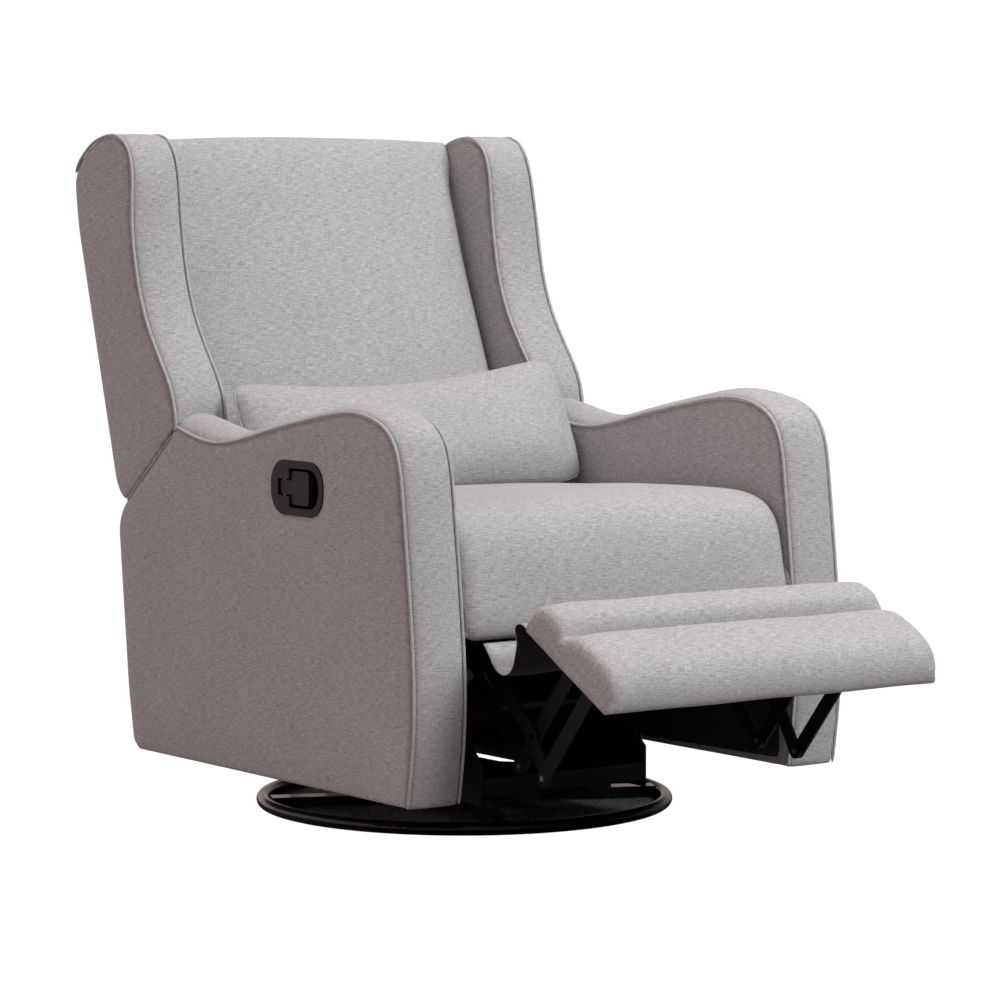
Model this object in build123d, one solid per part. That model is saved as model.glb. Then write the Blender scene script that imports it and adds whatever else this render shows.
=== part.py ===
from build123d import *
import os
from math import atan2, cos, degrees, hypot, radians, sin

os.makedirs("parts", exist_ok=True)

# A glider nursery chair that swivels, glides, reclines and carries a folding footrest.
# Millimetres, +Z up. The sitter faces -Y and the sitter's right hand is on the -X side.
# The origin is on the floor, on the swivel axis. Side profiles are drawn as (y, z) points.

# --- base ring and swivel bearing ---
RING_RADIUS = 302.0
RING_TUBE_RADIUS = 9.5
RING_FLAT = 0.2
CROSS_ANGLE = -24.0
CROSS_WIDTH = 30.0
CROSS_LOW = 3.5
CROSS_TOP = 18.5
CROSS_REACH = 291.8
PLATE_SIZE = 170.0
LOWER_PLATE_TOP = 22.5
RACE_RADIUS = 55.0
RACE_WIDTH = 18.0
BALL_RADIUS = 4.0
BALL_HEIGHT = 30.5
BALL_COUNT = 20
UPPER_RACE_LOW = 32.0
UPPER_PLATE_LOW = 38.0
UPPER_PLATE_TOP = 42.0
STUD_RADIUS = 7.0
STUD_TOP = 51.0
RUNNING_GAP = 0.05

# --- glider frame that turns on the base ---
RAIL_LOW_X = 45.0
RAIL_HIGH_X = 85.0
RAIL_TOP = 52.0
CROSS_TUBE_TOP = 78.0
CROSS_TUBE_NEAR = 200.0
CROSS_TUBE_FAR = 250.0
CROSS_TUBE_HALF = 145.0
LINK_REACH = 130.0
LINK_TOP = 190.0
LINK_BOTTOM = 90.0
PIN_RADIUS = 5.0
BRACKET_X = (146.0, 150.0)
LINK_X = (154.0, 159.0)
HANGER_X = (163.0, 167.0)

# --- mechanism side plates and seat box ---
SIDE_PLATE_X = (200.0, 204.0)
FLANGE_INNER = 178.0
SEAT_BOX_LOW = 302.0
SEAT_BOX_TOP = 342.0
SEAT_FRONT_RAIL = (-390.0, -366.0)
SEAT_REAR_RAIL = (188.0, 212.0)
SEAT_HALF = 286.0
SEAT_TUBE_Z = 245.0
SEAT_TUBE_Y = 40.0
SEAT_TUBE_RADIUS = 11.0
SPRING_WIRE = 1.7
SPRING_Z = 334.0
ARM_BOLT_RADIUS = 4.0

# --- upholstered body ---
ARM_INNER = 294.0
ARM_OUTER = 380.0
ARM_BOTTOM = 76.0
ARM_PANEL_X = (322.0, 338.0)
WING_INNER = 288.0
WING_OUTER = 377.0
CUSHION_HALF = 292.0
BACK_HALF = 286.0
BACK_TILT = 15.5
BACK_FOOT = (378.0, 469.0)
SEAM_REAR = (352.0, 444.0)
SEAM_FRONT = (196.0, 568.0)
SEAM_GAP = 5.0
RECLINE_PIVOT = (262.0, 320.0)

# --- release lever in the right arm ---
LEVER_CENTRE = (-131.0, 498.0)
BEZEL_LENGTH = 132.0
BEZEL_HEIGHT = 78.0
BEZEL_PROUD = 3.0
CUP_FLOOR_X = 350.0
LEVER_PIN_X = 375.0
LEVER_PIN_Y = -91.0

# --- footrest linkage: pivots at rest, with the footrest out ---
PAD_TILT = 29.0
PAD_REAR = (-546.0, 330.0)
PAD_LENGTH = 205.0
PAD_HALF = 284.0
BOARD_THICKNESS = 12.0
DRIVE_PIVOT = (-301.5, 275.0)
ELBOW_PIVOT = (-434.0, 126.0)
GUIDE_PIVOT = (-340.9, 287.0)
GUIDE_ELBOW = (-504.2, 118.2)
LINK_JOIN = (-472.3, 172.2)
BRACKET_DROP = 25.0
BRACKET_REAR_U = 40.0
BRACKET_FRONT_U = 100.0
LINK_WIDTH = 22.0
LINK_PIN = 4.0
LOWER_LINK_X = (207.0, 211.0)
UPPER_LINK_X = (213.0, 217.0)
GUIDE_LINK_X = (219.0, 223.0)
FRONT_LINK_X = (225.0, 229.0)
PAD_BRACKET_X = (231.0, 235.0)


def save(name, *solids):
    """Write one node; several solids make a group in one node."""
    shape = solids[0] if len(solids) == 1 else Compound(children=list(solids))
    export_step(shape, f"parts/{name}.step")


def slab(sketch, x_range, side=1):
    """A (y, z) sketch made solid between two distances from the middle, on one side."""
    low, high = sorted((side * x_range[0], side * x_range[1]))
    return Pos(low, 0, 0) * extrude(Plane.YZ * sketch, high - low)


def across(sketch, half):
    """A (y, z) sketch made solid symmetrically across the chair."""
    return slab(sketch, (-half, half))


def outline(*points):
    return make_face(Polyline(*points, close=True))


def disc(centre, radius):
    return Pos(*centre) * Circle(radius)


def bar(start, end, width, hole=0.0):
    """A flat link with round ends about two pivots."""
    run = (end[0] - start[0], end[1] - start[1])
    middle = ((start[0] + end[0]) / 2, (start[1] + end[1]) / 2)
    turn = degrees(atan2(run[1], run[0]))
    shape = Pos(*middle) * Rot(0, 0, turn) * SlotCenterToCenter(hypot(*run), width)
    for pivot in (start, end):
        if hole:
            shape -= disc(pivot, hole)
    return shape


def pad_point(u, v):
    """A point of the footrest: u down its slope from the rear edge, v square to it."""
    tilt = radians(PAD_TILT)
    return (
        PAD_REAR[0] - u * cos(tilt) - v * sin(tilt),
        PAD_REAR[1] - u * sin(tilt) + v * cos(tilt),
    )


def on_back(shape):
    """Move a shape from the back's own frame, whose origin is the outer foot of the back."""
    return Pos(0, *BACK_FOOT) * Rot(-BACK_TILT, 0, 0) * shape


# ---------------------------------------------------------------- base
def make_base():
    ring = Pos(0, 0, RING_TUBE_RADIUS - RING_FLAT) * Torus(RING_RADIUS, RING_TUBE_RADIUS)
    floor_cut = Pos(0, 0, -10) * Box(800, 800, 20)
    save("base_ring", ring - floor_cut)

    height = CROSS_TOP - CROSS_LOW
    middle = (CROSS_TOP + CROSS_LOW) / 2
    half_bar = CROSS_REACH - CROSS_WIDTH / 2
    long_bar = Box(2 * CROSS_REACH, CROSS_WIDTH, height)
    bars = [long_bar]
    for side in (-1, 1):
        centre = side * (CROSS_WIDTH / 2 + half_bar / 2)
        bars.append(Pos(0, centre, 0) * Box(CROSS_WIDTH, half_bar, height))
    place = Pos(0, 0, middle) * Rot(0, 0, CROSS_ANGLE)
    save("base_cross_bars", *[place * b for b in bars])

    thickness = LOWER_PLATE_TOP - CROSS_TOP
    plate = Pos(0, 0, CROSS_TOP + thickness / 2) * Box(PLATE_SIZE, PLATE_SIZE, thickness)
    save("swivel_lower_plate", Rot(0, 0, CROSS_ANGLE) * plate)

    save("swivel_lower_race", race(LOWER_PLATE_TOP, BALL_HEIGHT - 1.5, 0.1))
    balls = []
    for index in range(BALL_COUNT):
        turn = Rot(0, 0, index * 360 / BALL_COUNT)
        balls.append(turn * Pos(RACE_RADIUS, 0, BALL_HEIGHT) * Sphere(BALL_RADIUS))
    save("swivel_balls", *balls)

    stud_height = STUD_TOP - LOWER_PLATE_TOP
    stud = Pos(0, 0, LOWER_PLATE_TOP + stud_height / 2) * Cylinder(STUD_RADIUS, stud_height)
    save("swivel_stud", stud)
    nut = extrude(RegularPolygon(12, 6) - Circle(STUD_RADIUS + RUNNING_GAP), 7)
    save("swivel_nut", Pos(0, 0, UPPER_PLATE_TOP + 0.5) * nut)


def race(low, top, gap):
    """A flat ring with a groove that a circle of balls runs in."""
    ring = Circle(RACE_RADIUS + RACE_WIDTH / 2) - Circle(RACE_RADIUS - RACE_WIDTH / 2)
    solid = Pos(0, 0, low) * extrude(ring, top - low)
    return solid - Pos(0, 0, BALL_HEIGHT) * Torus(RACE_RADIUS, BALL_RADIUS + gap)


# ---------------------------------------------------------------- glider frame
def make_glider_frame():
    thickness = UPPER_PLATE_TOP - UPPER_PLATE_LOW
    plate = Box(PLATE_SIZE, PLATE_SIZE, thickness) - Cylinder(STUD_RADIUS + RUNNING_GAP, 20)
    save("swivel_upper_plate", Pos(0, 0, UPPER_PLATE_LOW + thickness / 2) * plate)
    save("swivel_upper_race", race(UPPER_RACE_LOW, UPPER_PLATE_LOW, 0.4))

    rails = []
    rail_width = RAIL_HIGH_X - RAIL_LOW_X
    rail_height = RAIL_TOP - UPPER_PLATE_TOP
    for side in (-1, 1):
        x = side * (RAIL_LOW_X + rail_width / 2)
        rail = Box(rail_width, 2 * CROSS_TUBE_FAR, rail_height)
        rails.append(Pos(x, 0, UPPER_PLATE_TOP + rail_height / 2) * rail)
    save("glider_rails", *rails)

    tube_depth = CROSS_TUBE_FAR - CROSS_TUBE_NEAR
    tube_height = CROSS_TUBE_TOP - RAIL_TOP
    tube = Box(2 * CROSS_TUBE_HALF, tube_depth, tube_height)
    tube -= Box(2 * CROSS_TUBE_HALF + 2, tube_depth - 5, tube_height - 5)
    for name, side in (("front", -1), ("rear", 1)):
        y = side * (CROSS_TUBE_NEAR + tube_depth / 2)
        placed = Pos(0, y, RAIL_TOP + tube_height / 2) * tube
        save(f"glider_cross_tube_{name}", placed)

    plate = outline(
        (-CROSS_TUBE_FAR, UPPER_PLATE_TOP),
        (CROSS_TUBE_FAR, UPPER_PLATE_TOP),
        (CROSS_TUBE_FAR, CROSS_TUBE_TOP + 24),
        (LINK_REACH + 15, LINK_TOP),
        (-LINK_REACH - 15, LINK_TOP),
        (-CROSS_TUBE_FAR, CROSS_TUBE_TOP + 24),
    )
    for end in (-1, 1):
        eye = (end * LINK_REACH, LINK_TOP)
        plate += disc(eye, 15)
        plate -= disc(eye, PIN_RADIUS + RUNNING_GAP)
        plate -= disc((end * 75, 100), 9)
    for name, side in (("right", -1), ("left", 1)):
        save(f"hanger_brackets_{name}", slab(plate, BRACKET_X, side))


def make_glider_links():
    for name, end in (("front", -1), ("rear", 1)):
        top = (end * LINK_REACH, LINK_TOP)
        bottom = (end * LINK_REACH, LINK_BOTTOM)
        link = bar(top, bottom, 24, PIN_RADIUS + 0.02)
        save(f"glider_links_{name}", *[slab(link, LINK_X, side) for side in (-1, 1)])
        pins = []
        for side in (-1, 1):
            pins.append(slab(disc(top, PIN_RADIUS), (143.0, 161.0), side))
            pins.append(slab(disc(bottom, PIN_RADIUS), (152.0, 170.0), side))
        save(f"glider_pins_{name}", *pins)


# ---------------------------------------------------------------- carriage
def make_carriage():
    tube_centres = [(-SEAT_TUBE_Y, SEAT_TUBE_Z), (SEAT_TUBE_Y, SEAT_TUBE_Z)]
    hanger = outline(
        (-150, 78), (150, 78), (150, 102), (62, 145),
        (62, 264), (-62, 264), (-62, 145), (-150, 102),
    )
    for pivot in ((-LINK_REACH, LINK_BOTTOM), (LINK_REACH, LINK_BOTTOM)):
        hanger -= disc(pivot, PIN_RADIUS + RUNNING_GAP)
    for centre in tube_centres:
        hanger -= disc(centre, SEAT_TUBE_RADIUS + 0.02)
    save("carriage_hanger_plates", *[slab(hanger, HANGER_X, side) for side in (-1, 1)])

    tubes = []
    for centre in tube_centres:
        ring = disc(centre, SEAT_TUBE_RADIUS) - disc(centre, SEAT_TUBE_RADIUS - 2)
        tubes.append(across(ring, SIDE_PLATE_X[0]))
    save("carriage_cross_tubes", *tubes)

    web = outline(
        (-362, 262), (-362, 302), (222, 302), (240, 342),
        (284, 342), (290, 304), (250, 236), (-250, 236),
    )
    web -= disc(DRIVE_PIVOT, 7 + RUNNING_GAP)
    web -= disc(GUIDE_PIVOT, LINK_PIN + RUNNING_GAP)
    web -= disc(RECLINE_PIVOT, 6 + RUNNING_GAP)
    for name, side in (("right", -1), ("left", 1)):
        plate = slab(web, SIDE_PLATE_X, side)
        flange_width = SIDE_PLATE_X[0] - FLANGE_INNER
        flange_length = SEAT_REAR_RAIL[1] - SEAT_FRONT_RAIL[1]
        flange_y = (SEAT_REAR_RAIL[1] + SEAT_FRONT_RAIL[1]) / 2
        flange = Box(flange_width, flange_length, 4)
        x = side * (FLANGE_INNER + flange_width / 2)
        save(f"side_plate_{name}", plate + Pos(x, flange_y, SEAT_BOX_LOW - 2) * flange)


def make_seat_box():
    height = SEAT_BOX_TOP - SEAT_BOX_LOW
    middle = (SEAT_BOX_TOP + SEAT_BOX_LOW) / 2
    for name, (low, high) in (("front", SEAT_FRONT_RAIL), ("rear", SEAT_REAR_RAIL)):
        y = (low + high) / 2
        rail = Pos(0, y, middle) * Box(2 * SEAT_HALF, high - low, height)
        hole = disc((y, middle), ARM_BOLT_RADIUS + 0.2)
        for side in (-1, 1):
            rail -= slab(hole, (SEAT_HALF - 20, SEAT_HALF + 1), side)
        save(f"seat_{name}_rail", rail)

    side_length = SEAT_REAR_RAIL[0] - SEAT_FRONT_RAIL[1]
    side_y = (SEAT_REAR_RAIL[0] + SEAT_FRONT_RAIL[1]) / 2
    side_width = SIDE_PLATE_X[0] - FLANGE_INNER
    rails = []
    for side in (-1, 1):
        x = side * (FLANGE_INNER + side_width / 2)
        rails.append(Pos(x, side_y, middle) * Box(side_width, side_length, height))
    save("seat_side_rails", *rails)

    wires = []
    bends = 12
    pitch = (side_length - 4) / bends
    for column in range(-2, 3):
        x = column * 68.0
        points = []
        for index in range(bends + 1):
            sway = 0.0 if index in (0, bends) else 20.0 * (-1) ** index
            points.append((x + sway, SEAT_FRONT_RAIL[1] + 2 + index * pitch, SPRING_Z))
        path = FilletPolyline(*points, radius=11)
        section = Plane(origin=path @ 0, z_dir=path % 0) * Circle(SPRING_WIRE)
        wires.append(sweep(section, path))
    save("seat_springs", *wires)

    cushion = outline(
        (-392, 300), (-414, 300), (-414, 316), (-402, 360), (-393, 416), (-384, 444),
        (-366, 466), (-330, 482), (-250, 488), (-100, 480), (60, 462), (220, 455),
        (235, 440), (235, 345), (-392, 345),
    )
    save("seat_cushion", across(cushion, CUSHION_HALF))

    bolts = []
    for rail in (SEAT_FRONT_RAIL, SEAT_REAR_RAIL):
        shank = disc(((rail[0] + rail[1]) / 2, middle), ARM_BOLT_RADIUS)
        for side in (-1, 1):
            bolts.append(slab(shank, (SEAT_HALF - 18, ARM_PANEL_X[1] - 4), side))
    save("arm_bolts", *bolts)

    panel = outline((312, 80), (327, 80), (343, 163), (362, 345), (348, 345), (329, 163))
    save("rear_panel", across(panel, CUSHION_HALF))


def arm_outline():
    """The arm's side: a low dip at the back, a full crest in front and a long front edge."""
    top_front = Spline(
        SEAM_FRONT, (104, 551), (-32, 571), (-188, 602), (-287, 610), (-365, 579),
        (-390, 499), (-411, 320), (-415, 180), (-401, ARM_BOTTOM),
    )
    rest = Polyline(
        (-401, ARM_BOTTOM), (315, ARM_BOTTOM), (329, 88), (343, 163), (369, 415), SEAM_REAR, SEAM_FRONT,
    )
    return make_face([top_front, rest])


def panel_outline():
    """The arm's plywood panel, set well inside the upholstery."""
    return outline(
        (-386, 80), (-397, 320), (-372, 500), (-345, 565), (-287, 588), (-136, 570),
        (100, 531), (190, 544), (336, 428), (340, 395), (312, 80),
    )


def make_arms():
    seat_middle = (SEAT_BOX_TOP + SEAT_BOX_LOW) / 2
    bolt_centres = []
    for rail in (SEAT_FRONT_RAIL, SEAT_REAR_RAIL):
        bolt_centres.append(((rail[0] + rail[1]) / 2, seat_middle))
    panel = panel_outline()
    for centre in bolt_centres:
        panel -= disc(centre, ARM_BOLT_RADIUS + 0.2)
    save("arm_panels", *[slab(panel, ARM_PANEL_X, side) for side in (-1, 1)])

    pocket = offset(panel_outline(), 1.0, kind=Kind.INTERSECTION)
    pocket += Pos(-37, 80) * Rectangle(698, 20)
    cup = RectangleRounded(BEZEL_LENGTH - 13, BEZEL_HEIGHT - 13, 26)
    for name, side in (("right", -1), ("left", 1)):
        arm = slab(arm_outline(), (ARM_INNER, ARM_OUTER), side)
        arm -= slab(pocket, (ARM_PANEL_X[0] - 0.5, ARM_PANEL_X[1] + 0.5), side)
        for centre in bolt_centres:
            hole = disc(centre, ARM_BOLT_RADIUS + 0.5)
            arm -= slab(hole, (ARM_INNER - 1, ARM_PANEL_X[0]), side)
        if side == -1:
            arm -= slab(Pos(*LEVER_CENTRE) * cup, (CUP_FLOOR_X - 4, ARM_OUTER + 1), side)
        save(f"arm_{name}", arm)


# ---------------------------------------------------------------- release lever
def lever_mouth():
    """The opening in the bezel's face: a slot for the stem and a D-shaped finger recess."""
    y, z = LEVER_CENTRE
    slot = Pos(y + 31, z) * Rectangle(34, 24)
    recess = Pos(y - 18.5, z) * RectangleRounded(75, 56, 24)
    square_end = Pos(y + 2, z) * Rectangle(34, 56)
    return slot + recess + square_end


def make_lever():
    side = -1
    centre_z = LEVER_CENTRE[1]
    flange = Pos(*LEVER_CENTRE) * RectangleRounded(BEZEL_LENGTH, BEZEL_HEIGHT, 34)
    wall = Pos(*LEVER_CENTRE) * RectangleRounded(BEZEL_LENGTH - 15, BEZEL_HEIGHT - 15, 25)
    cavity = Pos(*LEVER_CENTRE) * RectangleRounded(BEZEL_LENGTH - 20, BEZEL_HEIGHT - 20, 22.5)
    face_back = ARM_OUTER + 0.1
    face = ARM_OUTER + BEZEL_PROUD
    bezel = slab(flange, (face_back, face), side)
    bezel += slab(wall, (CUP_FLOOR_X - 2.5, face_back), side)
    bezel -= slab(cavity, (CUP_FLOOR_X, face_back), side)
    bezel -= slab(lever_mouth(), (CUP_FLOOR_X, face + 1), side)
    lug_depth = face_back - CUP_FLOOR_X
    for end in (-1, 1):
        lug = Box(lug_depth, 12, 8)
        x = -(CUP_FLOOR_X + lug_depth / 2)
        bezel += Pos(x, LEVER_PIN_Y, centre_z + end * 16.5) * lug
    bezel -= Pos(-LEVER_PIN_X, LEVER_PIN_Y, centre_z) * Cylinder(2.5 + RUNNING_GAP, 38)
    save("lever_bezel", bezel)

    stem = Pos(-101, centre_z) * Rectangle(30, 20)
    head = Pos(-136, centre_z) * RectangleRounded(44, 48, 6)
    paddle = slab(stem + head, (372.0, 380.0), side)
    knuckle = Pos(-LEVER_PIN_X, LEVER_PIN_Y, centre_z) * Cylinder(5, 20)
    pin_bore = Pos(-LEVER_PIN_X, LEVER_PIN_Y, centre_z) * Cylinder(2.52, 30)
    save("lever_paddle", paddle + knuckle - pin_bore)
    save("lever_pin", Pos(-LEVER_PIN_X, LEVER_PIN_Y, centre_z) * Cylinder(2.5, 37))


# ---------------------------------------------------------------- backrest
def wing_outline():
    """The wing's side: straight rear edge, rounded top corner and a long sweep to the arm."""
    run = (SEAM_REAR[0] - SEAM_FRONT[0], SEAM_REAR[1] - SEAM_FRONT[1])
    length = hypot(*run)
    shift = (-run[1] / length * SEAM_GAP, run[0] / length * SEAM_GAP)
    low_front = (SEAM_FRONT[0] + 4 + shift[0], SEAM_FRONT[1] - 3.2 + shift[1])
    low_rear = (SEAM_REAR[0] + shift[0], SEAM_REAR[1] + shift[1])
    front = Spline(
        (391, 998), (350, 971), (334, 915), (326, 847), (293, 731), (245, 662), (213, 612), low_front,
    )
    rest = Polyline(low_front, low_rear, BACK_FOOT, (507, 934), (517, 943), (466, 975), (391, 998))
    return make_face([front, rest])


def make_back():
    plate = outline(
        (248, 330), (246, 312), (262, 302), (284, 308), (360, 450),
        (397, 588), (372, 592), (337, 452), (300, 400),
    )
    plate -= disc(RECLINE_PIVOT, 6.02)
    hinge_x = (SIDE_PLATE_X[1] + 3, SIDE_PLATE_X[1] + 7)
    save("back_hinge_plates", *[slab(plate, hinge_x, side) for side in (-1, 1)])
    pins = [slab(disc(RECLINE_PIVOT, 6), (197.0, 213.0), side) for side in (-1, 1)]
    save("back_hinge_pins", *pins)

    rail_low = hinge_x[1] + 0.2
    rails = []
    for side in (-1, 1):
        rail = Pos(side * (rail_low + 22), -26, 245) * Box(44, 22, 490)
        rails.append(on_back(rail))
    save("back_side_rails", *rails)
    cross = Box(2 * hinge_x[0] - 1, 22, 40)
    save("back_bottom_rail", on_back(Pos(0, -26, 22) * cross))
    save("back_top_rail", on_back(Pos(0, -26, 468) * cross))
    straps = []
    for index in range(6):
        straps.append(on_back(Pos(0, -38.3, 155 + index * 54) * Box(2 * rail_low + 60, 1.4, 40)))
    save("back_webbing", *straps)

    cushion = outline(
        (333, 456), (240, 456), (224, 472), (238, 520), (288, 640), (338, 760),
        (392, 900), (420, 962), (446, 984), (478, 976),
    )
    save("back_cushion", across(cushion, BACK_HALF))
    panel = Pos(0, -6, 228) * Box(2 * BACK_HALF, 11, 500)
    save("back_panel", on_back(panel))

    insert = outline(
        (372, 482), (345, 470), (238, 572), (262, 650), (310, 725), (345, 845),
        (356, 915), (380, 960), (440, 962), (490, 925),
    )
    save("wing_panels", *[slab(insert, (325.0, 340.0), side) for side in (-1, 1)])
    pocket = offset(insert, 0.5, kind=Kind.INTERSECTION)
    for name, side in (("right", -1), ("left", 1)):
        wing = slab(wing_outline(), (WING_INNER, WING_OUTER), side)
        save(f"wing_{name}", wing - slab(pocket, (324.5, 340.5), side))


# ---------------------------------------------------------------- footrest
def make_footrest():
    hole = LINK_PIN + RUNNING_GAP
    shaft_radius = 7.0
    rear_eye = pad_point(BRACKET_REAR_U, -BRACKET_DROP)
    front_eye = pad_point(BRACKET_FRONT_U, -BRACKET_DROP)

    lower = bar(DRIVE_PIVOT, ELBOW_PIVOT, LINK_WIDTH) + disc(DRIVE_PIVOT, 15)
    lower -= disc(DRIVE_PIVOT, shaft_radius + 0.02)
    lower -= disc(ELBOW_PIVOT, hole)
    middle = tuple((a + b) / 2 for a, b in zip(DRIVE_PIVOT, ELBOW_PIVOT))
    save("footrest_lower_links", *[slab(lower, LOWER_LINK_X, side) for side in (-1, 1)])
    save("footrest_drive_shaft", across(disc(DRIVE_PIVOT, shaft_radius), LOWER_LINK_X[1] + 1))
    save("footrest_cross_tube", across(disc(middle, 8) - disc(middle, 6), LOWER_LINK_X[0]))

    upper = bar(ELBOW_PIVOT, rear_eye, LINK_WIDTH, hole)
    save("footrest_upper_links", *[slab(upper, UPPER_LINK_X, side) for side in (-1, 1)])
    elbow = disc(ELBOW_PIVOT, LINK_PIN)
    rear = disc(rear_eye, LINK_PIN)
    pins = []
    for side in (-1, 1):
        pins.append(slab(elbow, (206.0, 218.0), side))
        pins.append(slab(rear, (212.0, 236.0), side))
    save("footrest_elbow_pins", *pins)

    guide = bar(GUIDE_PIVOT, LINK_JOIN, LINK_WIDTH) + bar(LINK_JOIN, GUIDE_ELBOW, LINK_WIDTH)
    for pivot in (GUIDE_PIVOT, LINK_JOIN, GUIDE_ELBOW):
        guide -= disc(pivot, hole)
    save("footrest_guide_links", *[slab(guide, GUIDE_LINK_X, side) for side in (-1, 1)])
    pins = []
    for side in (-1, 1):
        pins.append(slab(disc(GUIDE_PIVOT, LINK_PIN), (199.0, 224.0), side))
        pins.append(slab(disc(GUIDE_ELBOW, LINK_PIN), (218.0, 230.0), side))
    save("footrest_guide_pins", *pins)

    front = bar(GUIDE_ELBOW, front_eye, LINK_WIDTH, hole)
    save("footrest_front_links", *[slab(front, FRONT_LINK_X, side) for side in (-1, 1)])

    bracket = outline(
        pad_point(26, 0), pad_point(140, 0), pad_point(116, -38), pad_point(26, -38),
    )
    for eye in (rear_eye, front_eye):
        bracket -= disc(eye, hole)
    flange = outline(pad_point(26, 0), pad_point(140, 0), pad_point(140, -3), pad_point(26, -3))
    brackets = []
    for side in (-1, 1):
        web = slab(bracket, PAD_BRACKET_X, side)
        brackets.append(web + slab(flange, (PAD_BRACKET_X[0], 256.0), side))
    save("footrest_brackets", *brackets)

    board = outline(
        pad_point(6, 0), pad_point(PAD_LENGTH - 8, 0),
        pad_point(PAD_LENGTH - 8, BOARD_THICKNESS), pad_point(6, BOARD_THICKNESS),
    )
    save("footrest_board", across(board, PAD_HALF - 6))
    roll = outline(
        pad_point(2, 12.5), pad_point(-1, 30), pad_point(12, 40), pad_point(50, 43),
        pad_point(66, 36), pad_point(70, 26), pad_point(70, 12.5),
    )
    save("footrest_roll", across(roll, PAD_HALF))
    pad = outline(
        pad_point(71, 12.5), pad_point(71, 26), pad_point(76, 37), pad_point(95, 46),
        pad_point(150, 50), pad_point(188, 44), pad_point(PAD_LENGTH, 28),
        pad_point(PAD_LENGTH, 14), pad_point(PAD_LENGTH - 4, 12.5),
    )
    save("footrest_cushion", across(pad, PAD_HALF))

    flap = outline(
        (-416, 298), (-441, 268), (-463, 259), (-479, 266), (-491, 300), (-489, 330), (-496, 333),
        (-561, 308), (-560, 306), (-496, 331), (-491, 328), (-493, 300), (-481, 265),
        (-463, 257), (-440, 266), (-414, 296),
    )
    save("footrest_flap", across(flap, 264))


# ---------------------------------------------------------------- loose pillow
def make_pillow():
    oval = Pos(150, 556) * Rot(0, 0, -17) * Ellipse(62, 88)
    save("lumbar_pillow", across(oval, 285))


make_base()
make_glider_frame()
make_glider_links()
make_carriage()
make_seat_box()
make_arms()
make_lever()
make_back()
make_footrest()
make_pillow()
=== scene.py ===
from math import cos, hypot, pi, radians, sin

import bmesh
import bpy
import numpy as np
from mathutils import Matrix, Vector, noise
from mathutils.geometry import delaunay_2d_cdt


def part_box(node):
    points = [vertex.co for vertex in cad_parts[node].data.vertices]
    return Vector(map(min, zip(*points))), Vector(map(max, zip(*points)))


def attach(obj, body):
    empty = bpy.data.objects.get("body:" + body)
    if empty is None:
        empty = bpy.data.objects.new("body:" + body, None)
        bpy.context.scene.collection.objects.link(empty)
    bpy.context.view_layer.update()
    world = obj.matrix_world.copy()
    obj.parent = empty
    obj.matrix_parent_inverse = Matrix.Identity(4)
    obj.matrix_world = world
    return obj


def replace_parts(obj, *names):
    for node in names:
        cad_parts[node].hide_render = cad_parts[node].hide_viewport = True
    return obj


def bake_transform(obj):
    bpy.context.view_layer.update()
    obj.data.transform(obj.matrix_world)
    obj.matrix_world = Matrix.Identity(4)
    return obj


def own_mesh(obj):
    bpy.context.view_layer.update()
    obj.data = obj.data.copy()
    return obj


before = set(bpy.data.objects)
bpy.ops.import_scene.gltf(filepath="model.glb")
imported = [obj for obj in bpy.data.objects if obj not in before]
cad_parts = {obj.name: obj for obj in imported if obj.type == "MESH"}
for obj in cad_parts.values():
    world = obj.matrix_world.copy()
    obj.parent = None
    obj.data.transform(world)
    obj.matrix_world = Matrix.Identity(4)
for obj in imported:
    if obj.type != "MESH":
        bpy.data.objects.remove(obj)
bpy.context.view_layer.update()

# Glider nursery chair. Shapes below are in millimetres and become metres in Fabric.make().
# Side views are (y, z) points, and a closed side view runs anticlockwise, seen from +X.
MM = 0.001
STEP = 6.0
GRID = 10.0
PIPING = 2.4
PIPING_SINK = 0.4
PIPING_INSET = 0.6
WELT = 1.7


# ---------------------------------------------------------------- the CAD model's sizes
def span(node):
    """Lowest and highest corner of a CAD node, in millimetres."""
    low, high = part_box(node)
    return np.array(low) / MM, np.array(high) / MM


ARM_LOW, ARM_HIGH = span("arm_left")
WING_LOW, WING_HIGH = span("wing_left")
SEAT_LOW, SEAT_HIGH = span("seat_cushion")
BACK_HIGH = span("back_cushion")[1]
PAD_HIGH = span("footrest_cushion")[1]
FLAP_HIGH = span("footrest_flap")[1]
PILLOW_LOW, PILLOW_HIGH = span("lumbar_pillow")
BEZEL_LOW, BEZEL_HIGH = span("lever_bezel")

SEAM_FRONT = (196.0, 568.0)
SEAM_REAR = (352.0, 444.0)
SEAM_GAP = 5.0
BACK_FOOT = (378.0, 469.0)
BACK_TOP = (507.0, 934.0)
PAD_TILT = radians(29)
PAD_REAR = (-546.0, 330.0)


# ---------------------------------------------------------------- lines in a side view
def travel(line):
    """Distance travelled along a line, at each of its points."""
    steps = np.linalg.norm(np.diff(line, axis=0), axis=1)
    return np.concatenate(([0.0], np.cumsum(steps)))


def spaced(line, count):
    """The same line with that many evenly spaced points."""
    at = travel(line)
    wanted = np.linspace(0, at[-1], count)
    return np.column_stack([np.interp(wanted, at, column) for column in line.T])


def stepped(line, step=STEP):
    """The same line with points about one step apart."""
    return spaced(line, max(2, round(travel(line)[-1] / step) + 1))


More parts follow.
